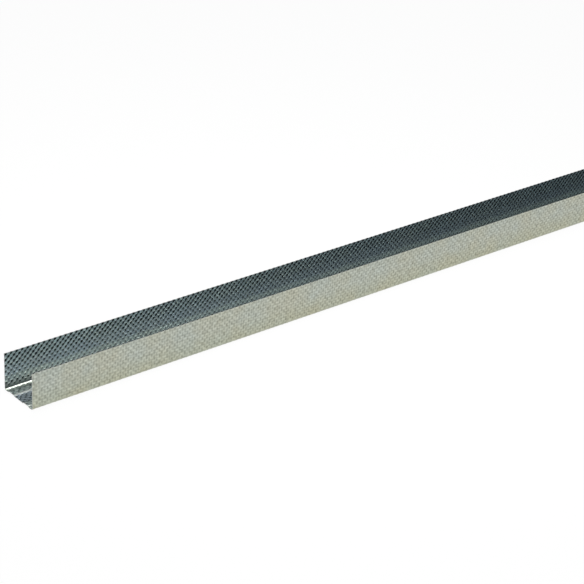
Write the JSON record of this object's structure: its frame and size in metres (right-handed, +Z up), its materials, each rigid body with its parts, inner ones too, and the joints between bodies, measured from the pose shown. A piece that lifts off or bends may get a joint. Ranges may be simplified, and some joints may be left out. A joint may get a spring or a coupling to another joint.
{
  "type": "drywall floor track",
  "caption": "Roll-formed galvanised steel U channel that is fixed to the floor along its web and takes the feet of drywall studs between its flanges.",
  "frame": {"origin": "middle of the underside of the web, on the floor", "axes": "+X along the track, +Y across the web, +Z up out of the open side of the channel"},
  "size_m": [3, 0.05, 0.04],
  "materials": {
    "galvanised_steel": "hot-dip galvanised steel sheet, pale zinc grey, knurled all over in small diamonds"
  },
  "bodies": {
    "root": {"floor_track": "galvanised_steel"}
  },
  "joints": []
}
